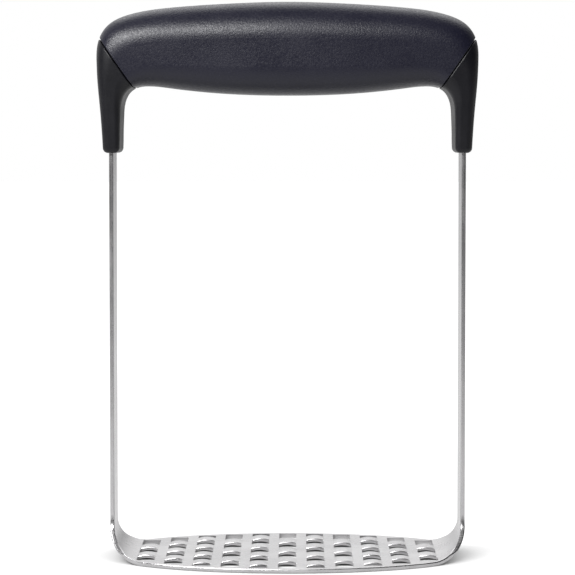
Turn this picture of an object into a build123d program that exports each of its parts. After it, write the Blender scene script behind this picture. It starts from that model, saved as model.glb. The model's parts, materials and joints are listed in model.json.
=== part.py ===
from build123d import *
import math
import os

# A potato masher: one bent stainless blank (slotted plate, two legs and their tangs) held in a
# two-shell hard core with a soft sleeve over the middle. Millimetres, +Z up, X across the plate,
# -Y towards the user. The origin is the centre of the plate's underside.

# ---- Mashing frame -------------------------------------------------------------------------
SHEET = 1.5                     # sheet thickness
PLATE_HALF_X = 64.0             # ellipse that the plate is cut from, before the ends bend up
PLATE_HALF_Y = 33.0
LEG_OUTER_X = 60.8              # outer face of each leg
BEND_INNER_R = 10.0
BEND_OUTER_R = BEND_INNER_R + SHEET
LEG_HALF_WIDTH = 7.3
FLARE_TOP_Z = 15.0              # below here each leg widens into the plate
FLARE = [(20.0, 2.2), (15.6, 3.6), (12.2, 5.9), (9.2, 9.3)]     # its edge seen from the side, as (Y, Z)
EDGE_ROUND = 0.4
CUT_OVER = 1.0                  # how far a cutter runs past what it cuts
TANG_TOP_Z = 172.0              # legs run on inside the handle up to here

# ---- Slots: rows across columns, with an arched bar between each two rows ------------------
COLUMN_PITCH = 9.6
SLOT_WIDTH = 6.1
SLOTS_PER_COLUMN = [3, 4, 5, 4, 5, 4, 5, 4, 5, 4, 3]
RIM_MARGIN = 1.7                # plain rim between a column's last corner and the plate's edge
BAR_TO_SLOT = 0.78              # bar width over slot length
SHORT_SLOT = 0.45               # length of the two outer slots in a column of five
BAR_CROWN_Z = 2.1               # a bar's section at its middle: crown, shoulders and underside
BAR_SHOULDER_Z = 1.92
BAR_UNDER_Z = 0.75
BAR_TOP_ROUND = 0.4
BAR_BOTTOM_ROUND = 0.2
BAR_BEND_R = 9.3                # the section is bent down to both ends about this radius
BAR_BEND_ANGLE = 23.3           # from a bar's middle to its end, inside the web

# ---- Handle: its outer and inner lines from the right shoulder's tip to the middle, as (X, Z)
HANDLE_OUTER = [(62.8, 139.1), (63.15, 146.5), (63.8, 155.0), (64.5, 162.5), (64.95, 170.5),
                (64.4, 177.6), (61.2, 182.8), (54.3, 186.3), (40.5, 188.65), (20.0, 190.05),
                (0.0, 190.65)]
HANDLE_INNER = [(57.05, 139.1), (56.95, 146.0), (56.75, 152.0), (56.0, 157.3), (53.3, 160.9),
                (48.5, 162.0), (40.5, 161.3), (25.0, 159.65), (0.0, 158.8)]
TIP_HALF_DEPTH = 9.5
MIDDLE_HALF_DEPTH = 15.4
DEPTH_POWER = 0.9               # how quickly the depth grows from tip to middle
SECTIONS = 48                   # sections along the whole handle
OUTER_ROUND = 0.40              # corner radii over the section's height
INNER_ROUND = 0.30
TIP_ROUND = 1.75
MITRE_FOOT = (52.4, 161.2)      # the seam between shoulder and sleeve starts here, as (X, Z)
MITRE_SLOPE = 1.43
MITRE_BELOW = 12.0              # the seam's plane is used from this far below its foot
MITRE_ABOVE = 40.0              # up to this far above it
SEAM_GAP = 0.3
SEAM_ROUND = 0.35
SLEEVE_THICK = 3.0
CORE_WALL = 2.6
CAVITY_HALF_X = 47.0
BEAM_START = 0.12               # shares of the handle's length left out of the core's inner forms
CAVITY_START = 0.2

# ---- Fasteners in the core -----------------------------------------------------------------
SCREW_X = {"left_outer_screw": -41.0, "left_inner_screw": -14.0,
           "right_inner_screw": 14.0, "right_outer_screw": 41.0}
SCREW_Z = 174.3
SCREW_R = 1.5
SCREW_HEAD_R = 2.8
SCREW_HEAD_H = 2.0
SCREW_HEAD_ROUND = 0.65
SCREW_POINT = 0.75              # chamfer at the tip
SCREW_SEAT_Y = 8.0              # under the head
SCREW_TIP_Y = -7.0
RECESS_LENGTH = 3.2             # cross recess in the head
RECESS_WIDTH = 0.8
RECESS_DEPTH = 1.1
BOSS_R = 4.0
PIN_R = 1.5
PIN_Z = 166.0
PIN_X = (57.4, 62.8)            # the two ends of a pin's hole
PIN_CHAMFER = 0.3
FIT = 0.05                      # clearance around tangs, pins, screws and heads

os.makedirs("parts", exist_ok=True)


def plate_half_depth(x):
    """Half the plate's depth along Y at this X."""
    return PLATE_HALF_Y * math.sqrt(1 - (x / PLATE_HALF_X) ** 2)


def column_rows(x, count):
    """The (low, high) Y ends of each slot in the column at this X."""
    ratios = [1.0] * count
    if count == 5:
        ratios[0] = ratios[-1] = SHORT_SLOT
    half = plate_half_depth(abs(x) + SLOT_WIDTH / 2) - RIM_MARGIN
    slot = 2 * half / (sum(ratios) + (count - 1) * BAR_TO_SLOT)
    rows = []
    y = -half
    for ratio in ratios:
        rows.append((y, y + ratio * slot))
        y += ratio * slot + BAR_TO_SLOT * slot
    return rows


def arched_bar(width):
    """A domed bar that bridges one slot column, bent down to an end in the web on each side."""
    with BuildPart() as bar:
        with BuildSketch(Plane.YZ) as section:
            with BuildLine():
                crown = ThreePointArc((-width / 2, BAR_SHOULDER_Z), (0, BAR_CROWN_Z),
                                      (width / 2, BAR_SHOULDER_Z))
                Polyline(crown @ 1, (width / 2, BAR_UNDER_Z), (-width / 2, BAR_UNDER_Z), crown @ 0)
            make_face()
            fillet(section.vertices().group_by(Axis.Y)[-1], BAR_TOP_ROUND)
            fillet(section.vertices().group_by(Axis.Y)[0], BAR_BOTTOM_ROUND)
        bend_axis = Axis((0, 0, BAR_CROWN_Z - BAR_BEND_R), (0, 1, 0))
        revolve(axis=bend_axis, revolution_arc=BAR_BEND_ANGLE)
        mirror(about=Plane.YZ)
    return bar.part


def both_sides(points):
    """A list of (X, Z) points that ends on the middle plane, carried on to the other side."""
    return points + [(-x, z) for x, z in points[-2::-1]]


def handle_loft(inset, start=0.0):
    """The handle's outer form shrunk by inset, less the share start of its length at each end."""
    outer_line = Spline(*both_sides(HANDLE_OUTER))
    inner_line = Spline(*both_sides(HANDLE_INNER))
    count = round(SECTIONS * (1 - 2 * start))
    with BuildPart() as form:
        for step in range(count + 1):
            t = start + (1 - 2 * start) * step / count
            outer = outer_line @ t
            inner = inner_line @ t
            along = Vector(outer.X - inner.X, 0, outer.Y - inner.Y)
            middle = ((outer.X + inner.X) / 2, 0, (outer.Y + inner.Y) / 2)
            height = along.length - 2 * inset
            growth = math.sin(math.pi * t) ** DEPTH_POWER
            depth = TIP_HALF_DEPTH + (MIDDLE_HALF_DEPTH - TIP_HALF_DEPTH) * growth - inset
            plane = Plane(origin=middle, x_dir=(0, 1, 0), z_dir=Vector(0, 1, 0).cross(along))
            with BuildSketch(plane) as section:
                Rectangle(2 * depth, height)
                fillet(section.vertices().group_by(Axis.Y)[-1], OUTER_ROUND * height)
                fillet(section.vertices().group_by(Axis.Y)[0], INNER_ROUND * height)
        loft()
    return form.part


def mitre_wedge(gap):
    """The space over the middle of the handle between the two seams, less a gap at each."""
    foot_x, foot_z = MITRE_FOOT
    gap_x = gap * math.hypot(1, MITRE_SLOPE) / MITRE_SLOPE
    low_z, high_z = foot_z - MITRE_BELOW, foot_z + MITRE_ABOVE
    low_x = foot_x - MITRE_BELOW / MITRE_SLOPE - gap_x
    high_x = foot_x + MITRE_ABOVE / MITRE_SLOPE - gap_x
    with BuildPart() as wedge:
        with BuildSketch(Plane.XZ):
            Polygon((-low_x, low_z), (low_x, low_z), (high_x, high_z), (-high_x, high_z), align=None)
        extrude(amount=2 * PLATE_HALF_Y, both=True)
    return wedge.part


# ---- Mashing frame: plate, bends, legs and tangs in one bent sheet --------------------------
with BuildPart() as mashing_frame:
    with BuildSketch(Plane.XZ):
        with BuildLine():
            outer = FilletPolyline((-LEG_OUTER_X, TANG_TOP_Z), (-LEG_OUTER_X, 0),
                                   (LEG_OUTER_X, 0), (LEG_OUTER_X, TANG_TOP_Z), radius=BEND_OUTER_R)
            leg_inner_x = LEG_OUTER_X - SHEET
            inner = FilletPolyline((-leg_inner_x, TANG_TOP_Z), (-leg_inner_x, SHEET),
                                   (leg_inner_x, SHEET), (leg_inner_x, TANG_TOP_Z),
                                   radius=BEND_INNER_R)
            Line(outer @ 0, inner @ 0)
            Line(outer @ 1, inner @ 1)
        make_face()
    extrude(amount=PLATE_HALF_Y, both=True)

    # Seen from above, the blank is an ellipse.
    with BuildSketch(Plane.XY.offset(-CUT_OVER)):
        Ellipse(PLATE_HALF_X, PLATE_HALF_Y)
    extrude(amount=TANG_TOP_Z + 2 * CUT_OVER, mode=Mode.INTERSECT)

    # Seen from the side, it narrows through a flare to the legs' width.
    with BuildSketch(Plane.YZ):
        with BuildLine():
            Polyline((0, -CUT_OVER), (2 * PLATE_HALF_Y, -CUT_OVER),
                     (2 * PLATE_HALF_Y, FLARE[0][1]), FLARE[0])
            Spline(*FLARE, (LEG_HALF_WIDTH, FLARE_TOP_Z), tangents=((-1, 0.2), (0, 1)))
            Polyline((LEG_HALF_WIDTH, FLARE_TOP_Z), (LEG_HALF_WIDTH, TANG_TOP_Z + CUT_OVER),
                     (0, TANG_TOP_Z + CUT_OVER), (0, -CUT_OVER))
        make_face()
        mirror(about=Plane.YZ)
    extrude(amount=PLATE_HALF_X, both=True, mode=Mode.INTERSECT)

    # The blank's cut edges are tumbled round.
    outline = mashing_frame.edges().filter_by(lambda edge: abs(edge.center().Y) > LEG_HALF_WIDTH - 1)
    fillet(outline.filter_by(lambda edge: edge.length > 2 * SHEET), EDGE_ROUND)

    # Slot columns, each cut whole and then bridged by its bars.
    for index, count in enumerate(SLOTS_PER_COLUMN):
        column_x = (index - (len(SLOTS_PER_COLUMN) - 1) / 2) * COLUMN_PITCH
        rows = column_rows(column_x, count)
        low, high = rows[0][0], rows[-1][1]
        with BuildSketch(Plane.XY.offset(-CUT_OVER)):
            with Locations((column_x, (low + high) / 2)):
                Rectangle(SLOT_WIDTH, high - low)
        extrude(amount=SHEET + 2 * CUT_OVER, mode=Mode.SUBTRACT)
        for below, above in zip(rows, rows[1:]):
            with Locations((column_x, (below[1] + above[0]) / 2, 0)):
                add(arched_bar(above[0] - below[1]))

    # A hole through each tang for its pin.
    with BuildSketch(Plane.YZ):
        with Locations((0, PIN_Z)):
            Circle(PIN_R + FIT)
    extrude(amount=PLATE_HALF_X, both=True, mode=Mode.SUBTRACT)
mashing_frame.part.label = "mashing_frame"
export_step(mashing_frame.part, "parts/mashing_frame.step")


# ---- Forms shared by the core shells and the sleeve ----------------------------------------
with BuildPart() as envelope:
    add(handle_loft(0))
    tips = envelope.faces().filter_by(Axis.Z).group_by(Axis.Z)[0]
    fillet(tips.edges(), TIP_ROUND)

beam_form = handle_loft(SLEEVE_THICK, BEAM_START)
cavity_form = handle_loft(SLEEVE_THICK + CORE_WALL, CAVITY_START)

with BuildPart() as core_form:
    add(envelope.part)
    add(mitre_wedge(0), mode=Mode.SUBTRACT)
    mitres = core_form.faces().filter_by(GeomType.PLANE).filter_by(Axis.Z, reverse=True)
    fillet(mitres.edges(), SEAM_ROUND)
    add(beam_form)

with BuildPart() as cavity:
    add(cavity_form)
    with Locations((0, 0, SCREW_Z)):
        Box(2 * CAVITY_HALF_X, 2 * PLATE_HALF_Y, 2 * PLATE_HALF_Y, mode=Mode.INTERSECT)
    with BuildSketch(Plane.XZ):
        with Locations([(x, SCREW_Z) for x in SCREW_X.values()]):
            Circle(BOSS_R)
    extrude(amount=PLATE_HALF_Y, both=True, mode=Mode.SUBTRACT)

with BuildPart() as tang_room:
    for side in (-1, 1):
        with Locations((side * (LEG_OUTER_X - SHEET / 2), 0, (FLARE_TOP_Z + TANG_TOP_Z) / 2)):
            Box(SHEET + 2 * FIT, 2 * (LEG_HALF_WIDTH + FIT), TANG_TOP_Z - FLARE_TOP_Z + 2 * FIT)
        with BuildSketch(Plane.YZ.offset(side * PIN_X[0])):
            with Locations((0, PIN_Z)):
                Circle(PIN_R + FIT)
        extrude(amount=side * (PIN_X[1] - PIN_X[0]))


# ---- Core front shell: takes the screws' threads --------------------------------------------
with BuildPart() as core_front_shell:
    add(core_form.part)
    split(bisect_by=Plane.XZ, keep=Keep.TOP)
    add(cavity.part, mode=Mode.SUBTRACT)
    add(tang_room.part, mode=Mode.SUBTRACT)
    with BuildSketch(Plane.XZ):
        with Locations([(x, SCREW_Z) for x in SCREW_X.values()]):
            Circle(SCREW_R + FIT)
    extrude(amount=-SCREW_TIP_Y + FIT, mode=Mode.SUBTRACT)
core_front_shell.part.label = "core_front_shell"
export_step(core_front_shell.part, "parts/core_front_shell.step")


# ---- Core rear shell: holds the screws' heads -----------------------------------------------
with BuildPart() as core_rear_shell:
    add(core_form.part)
    split(bisect_by=Plane.XZ, keep=Keep.BOTTOM)
    add(cavity.part, mode=Mode.SUBTRACT)
    add(tang_room.part, mode=Mode.SUBTRACT)
    with BuildSketch(Plane.XZ):
        with Locations([(x, SCREW_Z) for x in SCREW_X.values()]):
            Circle(SCREW_R + FIT)
    extrude(amount=-PLATE_HALF_Y, mode=Mode.SUBTRACT)
    with BuildSketch(Plane.XZ.offset(-SCREW_SEAT_Y)):
        with Locations([(x, SCREW_Z) for x in SCREW_X.values()]):
            Circle(SCREW_HEAD_R + FIT)
    extrude(amount=-PLATE_HALF_Y, mode=Mode.SUBTRACT)
core_rear_shell.part.label = "core_rear_shell"
export_step(core_rear_shell.part, "parts/core_rear_shell.step")


# ---- Soft grip: the sleeve moulded over the core, with a nub over each screw head ----------
with BuildPart() as soft_grip:
    add(envelope.part)
    add(mitre_wedge(SEAM_GAP), mode=Mode.INTERSECT)
    fillet(soft_grip.faces().filter_by(GeomType.PLANE).edges(), SEAM_ROUND)
    add(beam_form, mode=Mode.SUBTRACT)
    with BuildSketch(Plane.XZ.offset(-(SCREW_SEAT_Y + SCREW_HEAD_H + FIT))):
        with Locations([(x, SCREW_Z) for x in SCREW_X.values()]):
            Circle(SCREW_HEAD_R)
    extrude(amount=-SLEEVE_THICK)
soft_grip.part.label = "soft_grip"
export_step(soft_grip.part, "parts/soft_grip.step")


# ---- Screws that hold the two shells together ----------------------------------------------
def shell_screw(x):
    """A pan-head screw along Y, head at the rear, with a cross recess."""
    with BuildPart() as screw:
        with BuildSketch(Plane.XZ.offset(-SCREW_SEAT_Y)):
            with Locations((x, SCREW_Z)):
                Circle(SCREW_HEAD_R)
        extrude(amount=-SCREW_HEAD_H)
        fillet(screw.edges().group_by(Axis.Y)[-1], SCREW_HEAD_ROUND)
        with BuildSketch(Plane.XZ.offset(-SCREW_SEAT_Y)):
            with Locations((x, SCREW_Z)):
                Circle(SCREW_R)
        extrude(amount=SCREW_SEAT_Y - SCREW_TIP_Y)
        chamfer(screw.edges().group_by(Axis.Y)[0], SCREW_POINT)
        with BuildSketch(Plane.XZ.offset(-(SCREW_SEAT_Y + SCREW_HEAD_H))):
            with Locations((x, SCREW_Z)):
                Rectangle(RECESS_LENGTH, RECESS_WIDTH)
                Rectangle(RECESS_WIDTH, RECESS_LENGTH)
        extrude(amount=RECESS_DEPTH, mode=Mode.SUBTRACT)
    return screw.part


for name, x in SCREW_X.items():
    screw_part = shell_screw(x)
    screw_part.label = name
    export_step(screw_part, f"parts/{name}.step")


# ---- Tang pins: each crosses its tang's hole and lies in both shells ------------------------
def tang_pin(side):
    """A plain pin along X with chamfered ends."""
    with BuildPart() as pin:
        with BuildSketch(Plane.YZ.offset(side * (PIN_X[0] + FIT))):
            with Locations((0, PIN_Z)):
                Circle(PIN_R)
        extrude(amount=side * (PIN_X[1] - PIN_X[0] - 2 * FIT))
        chamfer(pin.edges(), PIN_CHAMFER)
    return pin.part


for name, side in (("left_tang_pin", -1), ("right_tang_pin", 1)):
    pin_part = tang_pin(side)
    pin_part.label = name
    export_step(pin_part, f"parts/{name}.step")
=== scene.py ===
import json
import math

import bpy
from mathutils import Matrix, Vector


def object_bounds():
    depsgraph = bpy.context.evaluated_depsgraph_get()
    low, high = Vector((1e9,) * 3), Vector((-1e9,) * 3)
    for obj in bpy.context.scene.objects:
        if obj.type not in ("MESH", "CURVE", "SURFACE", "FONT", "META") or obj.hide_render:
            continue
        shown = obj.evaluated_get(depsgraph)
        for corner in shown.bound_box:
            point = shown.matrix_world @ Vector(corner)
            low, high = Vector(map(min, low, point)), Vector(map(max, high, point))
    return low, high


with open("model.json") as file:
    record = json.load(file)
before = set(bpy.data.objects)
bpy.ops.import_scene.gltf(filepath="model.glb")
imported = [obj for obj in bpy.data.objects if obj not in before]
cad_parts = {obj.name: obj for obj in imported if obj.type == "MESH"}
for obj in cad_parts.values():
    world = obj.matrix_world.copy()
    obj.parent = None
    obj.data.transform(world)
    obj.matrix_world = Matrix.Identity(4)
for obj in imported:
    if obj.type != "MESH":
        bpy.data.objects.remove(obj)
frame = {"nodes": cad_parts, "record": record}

# A potato masher on a pale studio floor. Lengths are in metres, in the frame of the CAD model.
cad_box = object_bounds()
low, high = cad_box
middle = (low + high) / 2
MM = 0.001

# ---- Camera: a nearly level view from the front, a little to the right of the middle ---------
LENS = 135.8                                # focal length in millimetres
SENSOR_WIDTH = 36                           # millimetres
CAMERA_AT = Vector((0.0033, -0.746, 0.1452))
CAMERA_PITCH = math.radians(2.506)          # downwards
CAMERA_SHIFT_Y = -0.10

# ---- Material settings ----------------------------------------------------------------------
NOISE_LOW, NOISE_HIGH = 0.3, 0.7            # nearly all of a noise's values lie between these
LEG_FROM, LEG_FULL = 4 * MM, 14 * MM        # heights where the plate's brushing becomes the legs'
BRUSH_SCALE = 30
BRUSH_STRETCH = 60                          # how much longer than wide a brushed line is
LEG_SMOOTHER = 0.05                         # how much less rough the legs are than the plate

# ---- Floor and room. A ramp is (from low, from high, to low, to high), for Nodes.remap() ------
FLOOR_RADIUS = 6.0
FLOOR_SIDES = 96
FLOOR_REFLECTED = (-0.6, -0.05, 0.0, 0.54)  # painted glow in reflections, along Y: painted dark in front, lit behind
FLOOR_SHOWN = (0.1, 0.5, 0.88, 1.0)         # glow to the camera, by distance from the middle
CONTACT_PAINTED_SHADOW_REACH = 0.03                  # how near the plate the floor's glow is painted darker, a painted contact shadow
BACKDROP = 1.0                              # brightness of the plain background behind it all
ROOM_LEAST = 0.025                          # brightness of the room's darkest part
# Brightness of the room by the direction's X, Y and Z, which each run from -1 to 1.
BEHIND_BY_Y = (0.1, 0.8, 0.0, 1.0)
BEHIND_BY_Z = (-0.02, 0.2, 0.50, 0.95)
LEFT_BY_X = (-1.0, -0.1, 0.10, 0.0)
FRONT_BY_Y = (-0.8, -0.2, 0.20, 0.0)
FRONT_BY_Z = (0.04, 0.2, 0.0, 1.0)
CEILING_BY_Z = (0.65, 0.95, 0.0, 0.16)
SHARE_BY_X = (0.03, 0.6, 1.0, 0.3)          # the whole room is dimmer towards the right


# ---- Node helpers ---------------------------------------------------------------------------
class Nodes:
    """A short way to add and link shader nodes in one tree."""

    def __init__(self, tree):
        self.tree = tree
        tree.nodes.clear()

    def add(self, kind, inputs=None, **settings):
        """A new node with these settings, and with its inputs set or linked."""
        node = self.tree.nodes.new(kind)
        for name, value in settings.items():
            setattr(node, name, value)
        for name, value in (inputs or {}).items():
            self.put(node.inputs[name], value)
        return node

    def put(self, socket, value):
        """Link the socket to another one, or set it to a value."""
        if isinstance(value, bpy.types.NodeSocket):
            self.tree.links.new(value, socket)
        else:
            socket.default_value = value

    def math(self, operation, first, second):
        return self.add("ShaderNodeMath", {0: first, 1: second}, operation=operation).outputs[0]

    def remap(self, value, from_low, from_high, to_low, to_high):
        """A smooth step from the first range to the second, level beyond its ends."""
        node = self.add("ShaderNodeMapRange", {"Value": value, "From Min": from_low,
                        "From Max": from_high, "To Min": to_low, "To Max": to_high},
                        interpolation_type="SMOOTHSTEP")
        return node.outputs["Result"]

    def spread(self, noise, to_low, to_high):
        """A noise stretched to run from to_low to to_high."""
        return self.remap(noise, NOISE_LOW, NOISE_HIGH, to_low, to_high)

    def noise(self, place, scale, detail, stretch=(1, 1, 1), roughness=0.5):
        mapping = self.add("ShaderNodeMapping", {"Vector": place, "Scale": stretch})
        node = self.add("ShaderNodeTexNoise", {"Vector": mapping.outputs[0], "Scale": scale,
                        "Detail": detail, "Roughness": roughness})
        return node.outputs["Fac"]

    def blend(self, share, first, second):
        """A colour between two others, each given as red, green and blue."""
        node = self.add("ShaderNodeMix", {"Factor": share, 6: (*first, 1), 7: (*second, 1)},
                        data_type="RGBA")
        return node.outputs[2]

    def bump(self, height, distance, normal=None):
        node = self.add("ShaderNodeBump", {"Height": height, "Distance": distance})
        if normal is not None:
            self.put(node.inputs["Normal"], normal)
        return node.outputs["Normal"]


def new_material(name):
    """An empty node material, its helper and its object coordinates (metres)."""
    material = bpy.data.materials.new(name)
    material.use_nodes = True
    nodes = Nodes(material.node_tree)
    place = nodes.add("ShaderNodeTexCoord").outputs["Object"]
    return material, nodes, place


def finish_material(nodes, **inputs):
    """Add the shader, with inputs named by keyword (Base_Color for Base Color), and the output."""
    names = {key.replace("_", " "): value for key, value in inputs.items()}
    shader = nodes.add("ShaderNodeBsdfPrincipled", names)
    nodes.add("ShaderNodeOutputMaterial", {0: shader.outputs[0]})


# ---- Materials ------------------------------------------------------------------------------
def stainless():
    """Satin steel, brushed along the plate and up the legs."""
    material, nodes, place = new_material("stainless_satin")
    height = nodes.add("ShaderNodeSeparateXYZ", {"Vector": place}).outputs["Z"]
    on_leg = nodes.remap(height, LEG_FROM, LEG_FULL, 0, 1)
    on_plate = nodes.math("SUBTRACT", 1.0, on_leg)
    plate_lines = nodes.noise(place, BRUSH_SCALE, 3, (1, BRUSH_STRETCH, BRUSH_STRETCH))
    leg_lines = nodes.noise(place, BRUSH_SCALE, 3, (BRUSH_STRETCH, BRUSH_STRETCH, 1))
    lines = nodes.math("ADD", nodes.math("MULTIPLY", leg_lines, on_leg),
                       nodes.math("MULTIPLY", plate_lines, on_plate))
    cloud = nodes.noise(place, 60, 4)
    grain = nodes.noise(place, 2500, 2)
    colour = nodes.blend(nodes.remap(cloud, 0.35, 0.65, 0, 1),
                         (0.55, 0.543, 0.552), (0.62, 0.613, 0.62))
    rough = nodes.math("ADD", nodes.spread(lines, 0.24, 0.34), nodes.spread(cloud, -0.03, 0.05))
    rough = nodes.math("SUBTRACT", rough, nodes.math("MULTIPLY", on_leg, LEG_SMOOTHER))
    normal = nodes.bump(lines, 0.007 * MM)
    normal = nodes.bump(grain, 0.008 * MM, normal)
    finish_material(nodes, Base_Color=colour, Metallic=1.0, Roughness=rough, Normal=normal)
    return material


def hard_plastic():
    """Hard black plastic with a fine moulded grain."""
    material, nodes, place = new_material("hard_black_plastic")
    cloud = nodes.noise(place, 90, 4)
    grain = nodes.noise(place, 4000, 3)
    colour = nodes.blend(cloud, (0.0025, 0.0025, 0.004), (0.0045, 0.0045, 0.007))
    rough = nodes.math("ADD", nodes.spread(cloud, 0.36, 0.46), nodes.spread(grain, -0.04, 0.04))
    normal = nodes.bump(grain, 0.02 * MM)
    finish_material(nodes, Base_Color=colour, Roughness=rough, Normal=normal, IOR=1.38)
    return material


def soft_grip_rubber():
    """Soft black rubber, speckled where the light catches it."""
    material, nodes, place = new_material("soft_black_grip")
    cloud = nodes.noise(place, 70, 4)
    speckle = nodes.noise(place, 1600, 3, roughness=0.6)
    fine = nodes.noise(place, 5000, 2)
    colour = nodes.blend(cloud, (0.0055, 0.0055, 0.013), (0.008, 0.008, 0.0175))
    rough = nodes.math("ADD", nodes.spread(speckle, 0.31, 0.45), nodes.spread(cloud, -0.03, 0.03))
    normal = nodes.bump(speckle, 0.09 * MM)
    normal = nodes.bump(fine, 0.01 * MM, normal)
    finish_material(nodes, Base_Color=colour, Roughness=rough, Normal=normal, IOR=1.45)
    return material


def plated_steel():
    """Bright plated steel, for the screws and pins inside the handle."""
    material, nodes, place = new_material("plated_steel")
    cloud = nodes.noise(place, 400, 3)
    colour = nodes.blend(cloud, (0.50, 0.50, 0.52), (0.60, 0.60, 0.61))
    rough = nodes.spread(cloud, 0.24, 0.36)
    normal = nodes.bump(nodes.noise(place, 3000, 2), 0.006 * MM)
    finish_material(nodes, Base_Color=colour, Metallic=1.0, Roughness=rough, Normal=normal)
    return material


finishes = {
    "stainless_sheet": stainless(),
    "hard_black_plastic": hard_plastic(),
    "soft_black_grip": soft_grip_rubber(),
    "fastener_steel": plated_steel(),
}
slot_of_node = {part["node"]: part["material_slot"] for part in frame["record"]["subparts"]}
for name, node in frame["nodes"].items():
    for index in range(len(node.data.materials)):
        node.data.materials[index] = finishes[slot_of_node[name]]


# ---- Floor ----------------------------------------------------------------------------------
def make_floor():
    """A pale floor with painted light: its glow is near white to the camera and painted darker
    close to the plate, a painted contact shadow.

    In reflections its glow paints the front dark and the rear lit, a painted pool of light like a
    table before a bright wall.
    """
    bpy.ops.mesh.primitive_circle_add(vertices=FLOOR_SIDES, radius=FLOOR_RADIUS,
                                      fill_type="NGON", location=(0, 0, low.z))
    floor = bpy.context.object
    floor.name = "studio_floor"
    material, nodes, place = new_material("pale_floor")
    tone = nodes.blend(nodes.noise(place, 3, 2), (0.25, 0.25, 0.25), (0.27, 0.27, 0.27))
    depth = nodes.add("ShaderNodeSeparateXYZ", {"Vector": place}).outputs["Y"]
    # Painted light: the glow seen in reflections is dark in front and bright behind.
    reflected = nodes.remap(depth, *FLOOR_REFLECTED)
    distance = nodes.add("ShaderNodeVectorMath", {0: place}, operation="LENGTH").outputs["Value"]
    shown = nodes.remap(distance, *FLOOR_SHOWN)
    seen = nodes.add("ShaderNodeLightPath").outputs["Is Camera Ray"]
    glow = nodes.add("ShaderNodeMix", {"Factor": seen, "A": reflected, "B": shown})
    # Painted shadow: ambient occlusion darkens the floor's glow close to the plate.
    painted_contact_shadow = nodes.add("ShaderNodeAmbientOcclusion", {"Distance": CONTACT_PAINTED_SHADOW_REACH}, samples=8)
    glow = nodes.math("MULTIPLY", glow.outputs["Result"], painted_contact_shadow.outputs["AO"])
    finish_material(nodes, Base_Color=tone, Roughness=0.9, Emission_Color=(1, 1, 1, 1),
                    Emission_Strength=glow)
    floor.data.materials.append(material)


make_floor()


# ---- Light ----------------------------------------------------------------------------------
def make_world():
    """A bright wall behind and a dim room elsewhere, for light and reflections.

    The camera itself sees a plain background in its place.
    """
    world = bpy.data.worlds.new("studio")
    bpy.context.scene.world = world
    world.use_nodes = True
    nodes = Nodes(world.node_tree)
    direction = nodes.add("ShaderNodeTexCoord").outputs["Generated"]
    split = nodes.add("ShaderNodeSeparateXYZ", {"Vector": direction})
    x, y, z = (split.outputs[axis] for axis in "XYZ")
    behind = nodes.math("MULTIPLY", nodes.remap(y, *BEHIND_BY_Y), nodes.remap(z, *BEHIND_BY_Z))
    front = nodes.math("MULTIPLY", nodes.remap(y, *FRONT_BY_Y), nodes.remap(z, *FRONT_BY_Z))
    left = nodes.remap(x, *LEFT_BY_X)
    ceiling = nodes.remap(z, *CEILING_BY_Z)
    room = ROOM_LEAST
    for glow in (behind, front, left, ceiling):
        room = nodes.math("ADD", room, glow)
    room = nodes.math("MULTIPLY", room, nodes.remap(x, *SHARE_BY_X))
    seen = nodes.add("ShaderNodeLightPath").outputs["Is Camera Ray"]
    lit = nodes.add("ShaderNodeBackground", {"Color": (1, 1, 1, 1), "Strength": room})
    plain = nodes.add("ShaderNodeBackground", {"Color": (1, 1, 1, 1), "Strength": BACKDROP})
    mix = nodes.add("ShaderNodeMixShader", {0: seen, 1: lit.outputs[0], 2: plain.outputs[0]})
    nodes.add("ShaderNodeOutputWorld", {0: mix.outputs[0]})


def softbox(name, location, aim, size, power):
    """A rectangular lamp at location that faces aim, of a size in metres and a power in watts."""
    data = bpy.data.lights.new(name, "AREA")
    data.shape = "RECTANGLE"
    data.size, data.size_y = size
    data.energy = power
    light = bpy.data.objects.new(name, data)
    bpy.context.scene.collection.objects.link(light)
    light.location = location
    light.rotation_euler = (Vector(aim) - Vector(location)).to_track_quat("-Z", "Y").to_euler()
    light.visible_camera = False


make_world()
softbox("key_left_front", location=(-0.60, -0.92, 0.93), aim=(0, 0, 0.17), size=(1.15, 0.45),
        power=33)
softbox("back_top", location=(0.1, 1.1, 1.3), aim=(0, 0, 0), size=(1.6, 1.0), power=6)


# ---- Camera ---------------------------------------------------------------------------------
def make_camera():
    """The camera, turned towards the object's middle line."""
    data = bpy.data.cameras.new("camera")
    data.lens = LENS
    data.sensor_width = SENSOR_WIDTH
    data.shift_y = CAMERA_SHIFT_Y
    camera = bpy.data.objects.new("camera", data)
    bpy.context.scene.collection.objects.link(camera)
    camera.location = CAMERA_AT
    turn = math.atan2(CAMERA_AT.x - middle.x, -CAMERA_AT.y)
    camera.rotation_euler = (math.pi / 2 - CAMERA_PITCH, 0, turn)
    bpy.context.scene.camera = camera


make_camera()
bpy.context.scene.view_settings.view_transform = "Standard"
